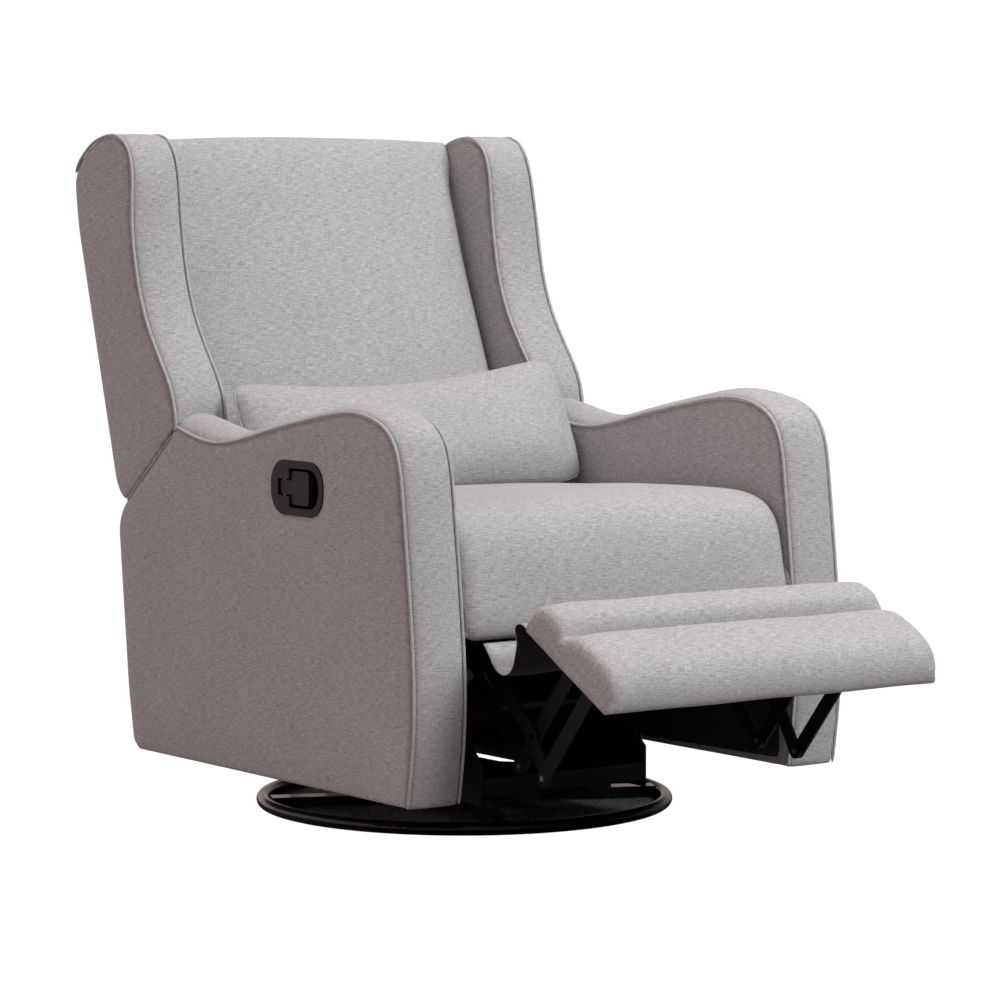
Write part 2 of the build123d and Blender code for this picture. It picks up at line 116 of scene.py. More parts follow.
def sweep(points, count=400):
    """A smooth line through a few points, bending as a thin batten would."""
    p = np.array(points, float)
    at = travel(p)
    gap = np.diff(at)
    matrix = np.eye(len(p))
    slope = np.zeros_like(p)
    for i in range(1, len(p) - 1):
        matrix[i, i - 1 : i + 2] = gap[i - 1], 2 * (gap[i - 1] + gap[i]), gap[i]
        slope[i] = 6 * ((p[i + 1] - p[i]) / gap[i] - (p[i] - p[i - 1]) / gap[i - 1])
    bend = np.linalg.solve(matrix, slope)
    t = np.linspace(0, at[-1], count)
    i = np.clip(np.searchsorted(at, t, side="right") - 1, 0, len(gap) - 1)
    before = ((at[i + 1] - t) / gap[i])[:, None]
    after = 1 - before
    square = (gap[i] ** 2)[:, None] / 6
    straight = before * p[i] + after * p[i + 1]
    return straight + square * ((before**3 - before) * bend[i] + (after**3 - after) * bend[i + 1])


def rounded(points, cuts):
    """Straight runs with each inner corner rounded off, from a cut before it to a cut after it."""
    p = [np.array(point, float) for point in points]
    line = [p[0]]
    for before, corner, after, cut in zip(p, p[1:], p[2:], cuts):
        start = corner + (before - corner) / np.linalg.norm(before - corner) * cut
        end = corner + (after - corner) / np.linalg.norm(after - corner) * cut
        for t in np.linspace(0, 1, 9):
            line.append((1 - t) ** 2 * start + 2 * t * (1 - t) * corner + t * t * end)
    line.append(p[-1])
    return np.array(line)


def outward(loop):
    """Unit normals that point out of a closed anticlockwise line."""
    along = np.roll(loop, -1, 0) - np.roll(loop, 1, 0)
    along /= np.maximum(np.linalg.norm(along, axis=1, keepdims=True), 1e-9)
    return np.column_stack((along[:, 1], -along[:, 0]))


def inside(points, loop):
    """Which points lie inside a closed line."""
    y, z = points[:, :1], points[:, 1:]
    a, b = loop, np.roll(loop, -1, 0)
    crosses = (a[:, 1] > z) != (b[:, 1] > z)
    rise = np.where(a[:, 1] == b[:, 1], 1e-9, b[:, 1] - a[:, 1])
    left = y < (b[:, 0] - a[:, 0]) * (z - a[:, 1]) / rise + a[:, 0]
    return (crosses & left).sum(1) % 2 == 1


def distance(points, line):
    """Distance from each point to the nearest point of a line."""
    apart = points[:, None, :] - line[None, :, :]
    return np.sqrt((apart**2).sum(2).min(1))


def wander(points, size, seed):
    """Smooth random heights between about -1 and 1, that change over that many millimetres."""
    return np.array([noise.noise(Vector((*(np.array(p) / size), seed))) for p in points])


# ---------------------------------------------------------------- fabric meshes
class Fabric:
    """Vertices, faces and weave coordinates of one piece of cloth, in millimetres."""

    def __init__(self):
        self.points = []
        self.faces = []
        self.weave = []

    def add(self, points):
        first = len(self.points)
        self.points.extend(tuple(float(v) for v in p) for p in points)
        return first

    def face(self, corners, weave):
        self.faces.append(tuple(int(c) for c in corners))
        self.weave.append(weave)

    def lattice(self, points, across, along, closed=True):
        """Rows of points joined into quads; across and along are weave positions."""
        count, width = points.shape[:2]
        first = self.add(points.reshape(-1, 3))
        for i in range(count if closed else count - 1):
            j = (i + 1) % count
            for k in range(width - 1):
                corners = (i * width + k, j * width + k, j * width + k + 1, i * width + k + 1)
                ends = (along[i], along[i + 1])
                weave = (
                    (across[k], ends[0]),
                    (across[k], ends[1]),
                    (across[k + 1], ends[1]),
                    (across[k + 1], ends[0]),
                )
                self.face([first + c for c in corners], weave)
        return first

    def panel(self, rim, first_rim, rim_step, height, facing=1, hole=None, hole_rim=None):
        """A flat fill between rim vertices already added, with points at x = height(yz)."""
        loops = [rim] if hole is None else [rim, hole]
        low, high = rim.min(0), rim.max(0)
        rows = np.arange(low[1] + GRID / 2, high[1], GRID * 0.87)
        inner = []
        for k, z in enumerate(rows):
            for y in np.arange(low[0] + (k % 2) * GRID / 2, high[0], GRID):
                inner.append((y, z))
        inner = np.array(inner)
        inner = inner[inside(inner, rim)]
        inner = inner[distance(inner, rim) > 0.65 * GRID]
        if hole is not None:
            inner = inner[~inside(inner, hole)]
            inner = inner[distance(inner, hole) > 0.65 * GRID]
        flat = np.vstack(loops + [inner])
        index = [first_rim + rim_step * i for i in range(len(rim))]
        if hole is not None:
            index += [hole_rim + i for i in range(len(hole))]
        first = self.add(np.column_stack((height(inner), inner)))
        index += [first + i for i in range(len(inner))]
        edges, start = [], 0
        for loop in loops:
            edges += [(start + i, start + (i + 1) % len(loop)) for i in range(len(loop))]
            start += len(loop)
        found = delaunay_2d_cdt([Vector(p) for p in flat], edges, [], 0, 1e-6)
        origin = [o[0] if o else 0 for o in found[3]]
        triangles = np.array([[origin[c] for c in f] for f in found[2]])
        centres = flat[triangles].mean(1)
        keep = inside(centres, rim)
        if hole is not None:
            keep &= ~inside(centres, hole)
        for triangle in triangles[keep]:
            corners = triangle if facing > 0 else triangle[::-1]
            self.face([index[c] for c in corners], [tuple(flat[c]) for c in corners])

    def make(self, name, body, material, slot="linen", mirror=False):
        """The Blender object. A mirrored piece is drawn for the left and made for the right."""
        turn = -1 if mirror else 1
        points = [(turn * x * MM, y * MM, z * MM) for x, y, z in self.points]
        faces = [f[::turn] for f in self.faces]
        weave = [w[::turn] for w in self.weave]
        mesh = bpy.data.meshes.new(name)
        mesh.from_pydata(points, [], faces)
        layer = mesh.uv_layers.new(name="weave")
        flat = [value * MM for corners in weave for pair in corners for value in pair]
        layer.data.foreach_set("uv", flat)
        mesh.polygons.foreach_set("use_smooth", [True] * len(faces))
        mesh.materials.append(material)
        obj = bpy.data.objects.new(name, mesh)
        bpy.context.scene.collection.objects.link(obj)
        if body:
            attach(obj, body)
        return obj


def tube(path, radius, sides=10, closed=False):
    """A round cord of fabric along a line of (x, y, z) points."""
    cloth = Fabric()
    path = np.array(path, float)
    if closed:
        along = np.roll(path, -1, 0) - np.roll(path, 1, 0)
    else:
        along = np.gradient(path, axis=0)
    along /= np.linalg.norm(along, axis=1, keepdims=True)
    side = np.cross(along[0], (0.3, 0.5, 0.8))
    rings = []
    for i, (point, ahead) in enumerate(zip(path, along)):
        side = side - ahead * np.dot(side, ahead)
        side /= np.linalg.norm(side)
        other = np.cross(ahead, side)
        width = radius
        if not closed and i in (0, len(path) - 1):
            width = radius * 0.35
        turns = np.linspace(0, 2 * pi, sides, endpoint=False)
        rings.append([point + width * (cos(a) * side + sin(a) * other) for a in turns])
    rings = np.array(rings)
    first = cloth.add(rings.reshape(-1, 3))
    at = np.append(travel(path), travel(path)[-1] + STEP)
    around = 2 * pi * radius / sides
    count = len(path)
    for i in range(count if closed else count - 1):
        j = (i + 1) % count
        for k in range(sides):
            m = (k + 1) % sides
            corners = (i * sides + k, i * sides + m, j * sides + m, j * sides + k)
            weave = (
                (at[i], k * around),
                (at[i], (k + 1) * around),
                (at[i + 1], (k + 1) * around),
                (at[i + 1], k * around),
            )
            cloth.face([first + c for c in corners], weave)
    if not closed:
        for start, turn in ((0, -1), ((count - 1) * sides, 1)):
            ring = [start + k for k in range(sides)][::turn]
            cloth.face([first + c for c in ring], [(0.0, 0.0)] * sides)
    return cloth


def upholstered(loop, piped, crown, low_x, high_x, puff, hole=None, inner_puff=1.0):
    """Inner panel, band and outer panel of a side, tucked in along its piped edges."""
    cloth = Fabric()
    width = high_x - low_x
    # How far in each point is across the band and how deep: at a piped seam, then at a fold.
    seam = np.array([(0.8, 4.2), (2.6, 6.6), (4.6, 1.9), (8.0, 0.0)])
    fold = np.array([(0.0, 7.5), (0.9, 2.9), (2.9, 0.9), (7.5, 0.0)])
    middle = np.linspace(8, width - 8, 12)[1:-1]
    normals = outward(loop)
    for _ in range(2):
        normals = (np.roll(normals, 1, 0) + normals + np.roll(normals, -1, 0)) / 3
        normals /= np.linalg.norm(normals, axis=1, keepdims=True)
    at = np.append(travel(loop), travel(np.vstack((loop, loop[:1])))[-1])
    for _ in range(4):
        piped = (np.roll(piped, 1) + 2 * piped + np.roll(piped, -1)) / 4
    rows = []
    for i, (point, normal) in enumerate(zip(loop, normals)):
        edge = piped[i] * seam + (1 - piped[i]) * fold
        across = np.concatenate((edge[:, 0], middle, width - edge[::-1, 0]))
        inset = np.concatenate((edge[:, 1], 0 * middle, edge[::-1, 1]))
        share = np.sin(pi * np.clip(across / width, 0, 1)) ** 0.8
        near = np.exp(-np.minimum(across, width - across) / 14)
        ripple = 0.9 * piped[i] * near * noise.noise(Vector((at[i] / 13, low_x, 3.1)))
        ripple += 1.2 * noise.noise(Vector((at[i] / 90, low_x, 9.7))) * share
        out = crown[i] * share - inset + ripple
        yz = point + normal * out[:, None]
        rows.append(np.column_stack((low_x + across, yz)))
    rows = np.array(rows)
    steps = travel(rows[0])
    first = cloth.lattice(rows, steps, at)
    wide = rows.shape[1]

    def height(plane, sign, seed):
        def at_points(points):
            reach = distance(points, rims[1 if sign > 0 else -1][:, 1:])
            swell = puff * (1 - np.exp(-reach / 20))
            swell += 1.6 * (1 - np.exp(-reach / 45)) * wander(points, 120, seed)
            swell += 0.8 * np.exp(-reach / 14) * wander(points, 16, seed)
            if hole is not None and sign > 0:
                swell *= 1 - np.exp(-((distance(points, hole) / 16) ** 2))
            return plane + sign * swell
        return at_points

    rims = {-1: rows[:, 0], 1: rows[:, -1]}
    cloth.panel(rims[-1][:, 1:], first, wide, height(low_x, -inner_puff, 2.0), facing=-1)
    hole_rim = None
    if hole is not None:
        deep = hole - outward(hole) * 1.5
        hole_rim = cloth.add([(high_x - 0.4, *p) for p in hole])
        lower = cloth.add([(high_x - 14, *p) for p in deep])
        count = len(hole)
        for i in range(count):
            j = (i + 1) % count
            corners = (hole_rim + i, lower + i, lower + j, hole_rim + j)
            cloth.face(corners, [(0, i * 5.0), (14, i * 5.0), (14, i * 5.0 + 5), (0, i * 5.0 + 5)])
    cloth.panel(
        rims[1][:, 1:], first + wide - 1, wide, height(high_x, 1, 5.0), hole=hole, hole_rim=hole_rim
    )
    return cloth, normals


def filled_form(middle, edge, half, power, end_round, ripple=1.0, stations=49, give=None):
    """A stuffed form: its side view swells from edge, at its two ends, to middle.

    give says how far each point of the side view follows the rounding at the ends.
    """
    cloth = Fabric()
    s = np.sin(np.linspace(-pi / 2, pi / 2, stations))
    s = 0.55 * s + 0.45 * np.linspace(-1, 1, stations)
    rings = []
    for share in s:
        bend = 1 - abs(share) ** power
        ring = edge + (middle - edge) * bend
        room = half * (1 - abs(share))
        if room < end_round:
            inset = end_round - np.sqrt(max(end_round**2 - (end_round - room) ** 2, 0))
            ring = ring - outward(ring) * (inset if give is None else inset * give[:, None])
        x = half * share
        soft = ripple * np.array([noise.noise(Vector((x / 95, y / 95, z / 95))) for y, z in ring])
        ring = ring + outward(ring) * soft[:, None]
        rings.append(np.column_stack((np.full(len(ring), x), ring)))
    rows = np.array(rings).transpose(1, 0, 2)
    at = travel(np.vstack((middle, middle[:1])))
    first = cloth.lattice(rows, half * s, at)
    wide = rows.shape[1]
    for column, facing in ((0, -1), (wide - 1, 1)):
        rim = rows[:, column, 1:]
        x = rows[0, column, 0]
        cloth.panel(rim, first + column, wide, lambda p, x=x: np.full(len(p), x), facing=facing)
    return cloth


# ---------------------------------------------------------------- materials
def add(tree, kind, inputs=None, **settings):
    node = tree.nodes.new(kind)
    for key, value in settings.items():
        setattr(node, key, value)
    for key, value in (inputs or {}).items():
        if isinstance(value, bpy.types.NodeSocket):
            tree.links.new(value, node.inputs[key])
        else:
            node.inputs[key].default_value = value
    return node


def start_material(name, **values):
    material = bpy.data.materials.new(name)
    material.use_nodes = True
    tree = material.node_tree
    shader = tree.nodes["Principled BSDF"]
    for key, value in values.items():
        shader.inputs[key.replace("_", " ")].default_value = value
    return material, tree, shader


def math(tree, operation, a, b=0.0, c=0.0, clamp=False):
    inputs = {0: a, 1: b, 2: c}
    return add(tree, "ShaderNodeMath", inputs, operation=operation, use_clamp=clamp).outputs[0]


def grain(tree, vector, scale, detail=2.0, size=1.0):
    """Noise stretched by a different scale along each direction."""
    stretched = add(tree, "ShaderNodeVectorMath", {0: vector, 1: scale}, operation="MULTIPLY")
    inputs = {"Vector": stretched.outputs[0], "Scale": size, "Detail": detail}
    return add(tree, "ShaderNodeTexNoise", inputs, noise_dimensions="3D").outputs["Fac"]


def ramp(tree, value, low, high, a, b):
    """Colours a to b as the value goes from low to high."""
    node = add(tree, "ShaderNodeValToRGB", {"Fac": value})
    node.color_ramp.elements[0].position = low
    node.color_ramp.elements[0].color = (*a, 1)
    node.color_ramp.elements[1].position = high
    node.color_ramp.elements[1].color = (*b, 1)
    return node.outputs["Color"]


def mixed(tree, factor, a, b, blend="MIX"):
    node = add(tree, "ShaderNodeMix", data_type="RGBA", blend_type=blend)
    for socket, value in ((node.inputs[0], factor), (node.inputs[6], a), (node.inputs[7], b)):
        if isinstance(value, bpy.types.NodeSocket):
            tree.links.new(value, socket)
        else:
            socket.default_value = value
    return node.outputs[2]


def bumped(tree, shader, height, strength, depth):
    inputs = {"Height": height, "Strength": strength, "Distance": depth}
    node = add(tree, "ShaderNodeBump", inputs)
    tree.links.new(node.outputs["Normal"], shader.inputs["Normal"])


def woven(name, dark, light, pitch=1.25, contrast=1.0):
    """Plain-weave cloth of two crossing threads, pitch millimetres apart, with slubs and flecks."""
    material, tree, shader = start_material(
        name, Roughness=0.92, Sheen_Weight=0.12, Sheen_Roughness=0.55, Specular_IOR_Level=0.15
    )
    uv = add(tree, "ShaderNodeUVMap", uv_map="weave").outputs["UV"]
    split = add(tree, "ShaderNodeSeparateXYZ", {0: uv})
    wave = pi / (pitch * MM)
    across = math(tree, "SINE", math(tree, "MULTIPLY", split.outputs[0], wave))
    along = math(tree, "SINE", math(tree, "MULTIPLY", split.outputs[1], wave))
    crossing = math(tree, "MULTIPLY", across, along)
    over = math(tree, "MULTIPLY_ADD", crossing, 2.5, 0.5, clamp=True)
    # Each thread's shade wanders along it. Warp runs up the piece and weft across it.
    warp = grain(tree, uv, (700, 110, 0), 2)
    weft = grain(tree, uv, (80, 1000, 0), 2)
    tone = [ramp(tree, value, 0.36, 0.64, dark, light) for value in (warp, weft)]
    colour = mixed(tree, math(tree, "MULTIPLY_ADD", over, 0.5, 0.35), tone[0], tone[1])
    # Flecks of single stitches, broad clouding, and pale and dark slubs along the weft.
    fleck = ramp(tree, grain(tree, uv, (800, 1100, 0), 1), 0.36, 0.64, (0.87,) * 3, (1.11,) * 3)
    colour = mixed(tree, contrast, colour, fleck, "MULTIPLY")
    broad = ramp(tree, grain(tree, uv, (9, 9, 0), 3), 0.3, 0.7, (0.97,) * 3, (1.025,) * 3)
    colour = mixed(tree, 1.0, colour, broad, "MULTIPLY")
    slub = ramp(tree, grain(tree, uv, (34, 980, 0), 1), 0.56, 0.70, (1.0,) * 3, (1.20,) * 3)
    colour = mixed(tree, contrast, colour, slub, "MULTIPLY")
    dark_slub = ramp(tree, grain(tree, uv, (46, 960, 0), 1), 0.30, 0.44, (0.74,) * 3, (1.0,) * 3)
    colour = mixed(tree, contrast, colour, dark_slub, "MULTIPLY")
    tree.links.new(colour, shader.inputs["Base Color"])
    height = math(tree, "ABSOLUTE", crossing)
    height = math(tree, "ADD", height, math(tree, "MULTIPLY", warp, 0.8))
    height = math(tree, "ADD", height, math(tree, "MULTIPLY", weft, 0.8))
    bumped(tree, shader, height, 0.55, 0.0005)
    return material


def painted(name, colour, roughness, coat, orange_peel):
    """Enamel on steel, with a little dust and a slightly uneven skin."""
    material, tree, shader = start_material(
        name, Coat_Weight=coat, Coat_Roughness=0.12, Specular_IOR_Level=0.25
    )
    place = add(tree, "ShaderNodeTexCoord").outputs["Object"]
    dust = grain(tree, place, (9, 9, 9), 5)
    fine = grain(tree, place, (700, 700, 700), 2)
    light = tuple(c * 1.7 + 0.002 for c in colour)
    tree.links.new(ramp(tree, dust, 0.35, 0.75, colour, light), shader.inputs["Base Color"])
    rough = math(tree, "MULTIPLY_ADD", dust, 0.22, roughness - 0.11)
    tree.links.new(rough, shader.inputs["Roughness"])
    bumped(tree, shader, fine, orange_peel, 0.0003)
    return material


def steel(name, colour, roughness):
    material, tree, shader = start_material(name, Metallic=1.0)
    place = add(tree, "ShaderNodeTexCoord").outputs["Object"]
    cloud = grain(tree, place, (60, 60, 60), 4)
    scratch = grain(tree, place, (40, 1600, 1600), 2)
    dull = tuple(c * 0.72 for c in colour)
    tree.links.new(ramp(tree, cloud, 0.3, 0.7, dull, colour), shader.inputs["Base Color"])
    rough = math(tree, "MULTIPLY_ADD", scratch, 0.3, roughness - 0.15)
    tree.links.new(rough, shader.inputs["Roughness"])
    bumped(tree, shader, scratch, 0.15, 0.0002)
    return material


def wood(name, pale, dark):
    """Plywood and pine rails, with long grain and growth rings."""
    material, tree, shader = start_material(name, Specular_IOR_Level=0.3)
    place = add(tree, "ShaderNodeTexCoord").outputs["Object"]
    fibre = grain(tree, place, (24, 24, 500), 4)
    rings = add(tree, "ShaderNodeTexWave", {"Scale": 9.0, "Distortion": 6.0, "Detail": 3.0})
    tree.links.new(place, rings.inputs["Vector"])
    colour = ramp(tree, fibre, 0.3, 0.7, dark, pale)
    ring_tone = ramp(tree, rings.outputs["Fac"], 0.2, 0.9, (0.78, 0.74, 0.70), (1, 1, 1))
    colour = mixed(tree, 0.6, colour, ring_tone, "MULTIPLY")
    tree.links.new(colour, shader.inputs["Base Color"])
    rough = math(tree, "MULTIPLY_ADD", fibre, 0.25, 0.5)
    tree.links.new(rough, shader.inputs["Roughness"])
    bumped(tree, shader, fibre, 0.3, 0.0004)
    return material


def moulded(name, colour):
    """Matt moulded plastic with a fine spark-eroded grain."""
    material, tree, shader = start_material(name, Specular_IOR_Level=0.4)
    place = add(tree, "ShaderNodeTexCoord").outputs["Object"]
    fine = grain(tree, place, (1500, 1500, 1500), 2)
    cloud = grain(tree, place, (40, 40, 40), 3)
    light = tuple(c * 1.35 for c in colour)
    tree.links.new(ramp(tree, cloud, 0.3, 0.7, colour, light), shader.inputs["Base Color"])
    rough = math(tree, "MULTIPLY_ADD", fine, 0.2, 0.42)
    tree.links.new(rough, shader.inputs["Roughness"])
    bumped(tree, shader, fine, 0.35, 0.0003)
    return material


def strapping(name, colour, stripe):
    """Woven straps, on CAD nodes that have no weave coordinates."""
    material, tree, shader = start_material(name, Roughness=0.85, Specular_IOR_Level=0.2)
    place = add(tree, "ShaderNodeTexCoord").outputs["Object"]
    split = add(tree, "ShaderNodeSeparateXYZ", {0: place})
    across = math(tree, "SINE", math(tree, "MULTIPLY", split.outputs[0], 2200.0))
    along = math(tree, "SINE", math(tree, "MULTIPLY", split.outputs[2], 2200.0))
    crossing = math(tree, "MULTIPLY", across, along)
    thread = grain(tree, place, (400, 60, 900), 2)
    colour = ramp(tree, thread, 0.35, 0.65, colour, stripe)
    tree.links.new(colour, shader.inputs["Base Color"])
    bumped(tree, shader, math(tree, "ADD", crossing, thread), 0.5, 0.0005)
    return material


LINEN = woven("linen", (0.31, 0.30, 0.30), (0.60, 0.59, 0.593))
# The cords get a finer, calmer weave, and a linen paler than the cover's: a painted highlight along
# the cords.
CORD_LINEN_PAINTED_HIGHLIGHT = woven("piping_linen", (0.38, 0.37, 0.37), (0.62, 0.61, 0.61), pitch=1.0, contrast=0.5)
BLACK_CLOTH = woven("panel_cloth", (0.008, 0.008, 0.009), (0.022, 0.021, 0.022), contrast=0.5)
BLACK_STRAP = strapping("panel_cloth_cad", (0.010, 0.010, 0.011), (0.022, 0.022, 0.022))
SLOTS = {
    "ring_paint": painted("ring_paint", (0.004, 0.004, 0.005), 0.27, 0.3, 0.03),
    "mechanism_paint": painted("mechanism_paint", (0.0025, 0.0025, 0.003), 0.52, 0.02, 0.12),
    "bearing_steel": steel("bearing_steel", (0.56, 0.56, 0.57), 0.38),
    "frame_wood": wood("frame_wood", (0.55, 0.38, 0.22), (0.33, 0.20, 0.11)),
    "spring_steel": steel("spring_steel", (0.20, 0.20, 0.21), 0.42),
    "webbing": strapping("webbing", (0.03, 0.03, 0.032), (0.16, 0.15, 0.14)),
    "linen": LINEN,
    "lever_plastic": moulded("lever_plastic", (0.009, 0.0095, 0.011)),
    "panel_cloth": BLACK_STRAP,
}


def dress_cad_nodes():
    """Give each CAD node the finish of its material slot."""
    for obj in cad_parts.values():
        for slot in obj.material_slots:
            slot_name = slot.material.name.split(".")[0] if slot.material else ""
            slot.material = SLOTS.get(slot_name, SLOTS["mechanism_paint"])


# ---------------------------------------------------------------- arms and wings
ARM_SWEEP = [
    SEAM_FRONT, (104, 551), (-32, 571), (-188, 602), (-287, 610), (-365, 579),
    (-390, 499), (-411, 320), (-415, 180), (-401, ARM_LOW[2]),
]
# How far the arm's band stands proud, at each y along its top, and down its front.
HUMP_AT = [-330, -250, -30, 30, 75, 117, 160, 196]
HUMP = [10, 13, 12, 12, 17, 22, 23, 19]
FRONT_CROWN = 7
# The same for the wing's band, at each height.
WING_CROWN_AT = [570, 600, 650, 720, 900, 970]
WING_CROWN = [-4, 4, 8, 9, 7, 2]
WING_THINNING = 9
# How much of a piped seam's shape is left where the piping runs out, and how full a side panel is.
HALF_PIPED = 0.7
SIDE_PUFF = 3.0


def smooth_step(value, low, high):
    """From 0 to 1 as the value goes from low to high, level at both ends."""
    t = np.clip((np.asarray(value, float) - low) / (high - low), 0, 1)
    return t * t * (3 - 2 * t)


def seam_shift():
    """The recline seam's gap, as a (y, z) shift square to the seam."""
    run = np.array(SEAM_REAR) - np.array(SEAM_FRONT)
    return np.array((-run[1], run[0])) / hypot(*run) * SEAM_GAP


def piping(name, loop, normals, chosen, x, body, mirror, bend=tuple):
    """A fabric cord along part of a seam."""
    yz = loop[chosen] - normals[chosen] * PIPING_SINK
    path = [bend((x, y, z)) for y, z in yz]
    cord = tube(path, PIPING)
    # The cord's paler linen is a painted highlight.
    return cord.make(name, body, CORD_LINEN_PAINTED_HIGHLIGHT, mirror=mirror)


def lever_hole():
    """The rounded opening in the right arm's cover that the lever's cup sits in."""
    low, high = BEZEL_LOW[1:] + 5.5, BEZEL_HIGH[1:] - 5.5
    corner = 27.0
    points = [((low + high)[0] / 2, low[1]), (high[0], low[1]), high, (low[0], high[1]), low]
    points.append(points[0])
    return stepped(rounded(points, [corner] * 4), 5.0)[:-1]


def make_arms():
    """Two arms: a padded cover each, two piping cords, a welt at the recline seam and a lining."""
    top = stepped(sweep(ARM_SWEEP))
    base = ARM_LOW[2]
    under = [
        (-401, base), (315, base), (329, 88), (343, 163), (369, 415), SEAM_REAR, SEAM_FRONT,
    ]
    rest = stepped(rounded(under, (6, 6, 20, 18, 14)), 5.0)
    loop = np.vstack((top[:-1], rest[:-1]))
    count = len(top) - 1
    piped = np.zeros(len(loop))
    piped[:count] = 1
    piped[-2:] = HALF_PIPED
    piped[count : count + 3] = HALF_PIPED
    crown = np.zeros(len(loop))
    crown[:count] = np.interp(loop[:count, 0], HUMP_AT, HUMP)
    front = (loop[:count, 1] < 560) & (loop[:count, 0] < -300)
    crown[:count][front] = FRONT_CROWN
    crown[:count] = smooth(crown[:count])
    from_seam = np.hypot(*(loop[count:] - SEAM_FRONT).T)
    on_seam = loop[count:, 1] > SEAM_REAR[1]
    crown[count:] = np.where(on_seam, HUMP[-1] * (1 - smooth_step(from_seam, 0, 70)), 0)
    low_x, high_x = ARM_LOW[0], ARM_HIGH[0]
    for name, mirror, hole in (("right", True, lever_hole()), ("left", False, None)):
        cloth, normals = upholstered(loop, piped, crown, low_x, high_x, SIDE_PUFF, hole, 0.15)
        arm = cloth.make(f"arm_{name}_cover", "carriage", LINEN, mirror=mirror)
        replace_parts(arm, f"arm_{name}")
        chosen = np.arange(-2, count + 1) % len(loop)
        for side, x in (("inner", low_x + PIPING_INSET), ("outer", high_x - PIPING_INSET)):
            cord_name = f"arm_{name}_piping_{side}"
            piping(cord_name, loop, normals, chosen, x, "carriage", mirror)
        make_lip(name, mirror)
        make_lining(name, mirror)


def make_lip(name, mirror):
    """The thin welt along the outer edge of the seam that the back opens at."""
    line = stepped(np.array([SEAM_FRONT, SEAM_REAR]) + (3.0, -4.6))[2:-3]
    path = np.column_stack((np.full(len(line), ARM_HIGH[0] - 0.3), line))
    lip = tube(path, WELT, sides=8)
    # The welt's paler linen is a painted highlight.
    lip.make(f"arm_{name}_seam_lip", "carriage", CORD_LINEN_PAINTED_HIGHLIGHT, mirror=mirror)


def make_lining(name, mirror):
    """Black cloth stapled to the arm's inner face, round the mechanism."""
    outline = [(-20, 84), (300, 82), (318, 300), (-380, 300), (-383, 88), (-20, 84)]
    rim = stepped(rounded(outline, [10.0] * 4), 12.0)[:-1]
    cloth = Fabric()
    x = ARM_LOW[0] - 1.6
    first = cloth.add([(x, *p) for p in rim])
    cloth.panel(rim, first, 1, lambda p: x - 0.5 + 0.8 * wander(p, 60, 1.0), facing=-1)
    lining = cloth.make(f"arm_{name}_lining", "carriage", BLACK_CLOTH, "panel_cloth", mirror)
    thicken(lining, 0.6)


def smooth(values):
    """Even out a list of numbers, leaving its two ends."""
    values = np.array(values, float)
    for _ in range(6):
        values[1:-1] = (values[:-2] + 2 * values[1:-1] + values[2:]) / 4
    return values


def make_wings():
    """Two wings: a padded cover each and two piping cords."""
    shift = seam_shift()
    low_front = np.array(SEAM_FRONT) + (4, -3.2) + shift
    low_rear = np.array(SEAM_REAR) + shift
    sweep_points = [
        tuple(low_front), (213, 612), (245, 662), (293, 735), (325, 850), (332, 905), (339, 951),
        (350, 975), (366, 990), (384, 997), (406, 998), (432, 994), (458, 985), (479, 972),
        (498, 954), (508, 930),
    ]
    front = stepped(sweep(sweep_points))
    under = [(508, 930), BACK_FOOT, tuple(low_rear), tuple(low_front)]
    rest = stepped(rounded(under, (17, 11)), 5.0)
    loop = np.vstack((front[:-1], rest[:-1]))[::-1]
    rest_count = len(rest) - 1
    count = len(front) - 1
    piped = np.zeros(len(loop))
    piped[rest_count:] = 1
    crown = np.zeros(len(loop))
    crown[rest_count:] = np.interp(loop[rest_count:, 1], WING_CROWN_AT, WING_CROWN)
    from_seam = np.hypot(*(loop[:rest_count] - low_front).T)
    on_seam = (loop[:rest_count, 1] > SEAM_REAR[1] + 6) & (loop[:rest_count, 0] < 350)
    crown[:rest_count] = np.where(on_seam, -HUMP[-1] * (1 - smooth_step(from_seam, 0, 70)), 0)
    low_x, high_x = WING_LOW[0], WING_HIGH[0]

    def lean_in(point):
        """The wings are a little thinner at the top, on their outer side."""
        x, y, z = point
        lean = WING_THINNING * float(smooth_step(z, 840, 985))
        return x - lean * (x - low_x) / (high_x - low_x), y, z

    for name, mirror in (("right", True), ("left", False)):
        cloth, normals = upholstered(loop, piped, crown, low_x, high_x, SIDE_PUFF)
        cloth.points = [lean_in(point) for point in cloth.points]
        wing = cloth.make(f"wing_{name}_cover", "backrest", LINEN, mirror=mirror)
        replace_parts(wing, f"wing_{name}")
        chosen = np.arange(rest_count + 1, rest_count + count + 2) % len(loop)
        for side, x in (("inner", low_x + PIPING_INSET), ("outer", high_x - PIPING_INSET)):
            cord_name = f"wing_{name}_piping_{side}"
            piping(cord_name, loop, normals, chosen, x, "backrest", mirror, lean_in)


# ---------------------------------------------------------------- seat and back cushions
def closed(front, rest, cuts):
    """A closed side view from a smooth front and straight runs back to its start."""
    front = spaced(sweep(front), 90)
    rest = spaced(rounded([tuple(front[-1]), *rest, tuple(front[0])], cuts), 60)
    return np.vstack((front[:-1], rest[:-1]))


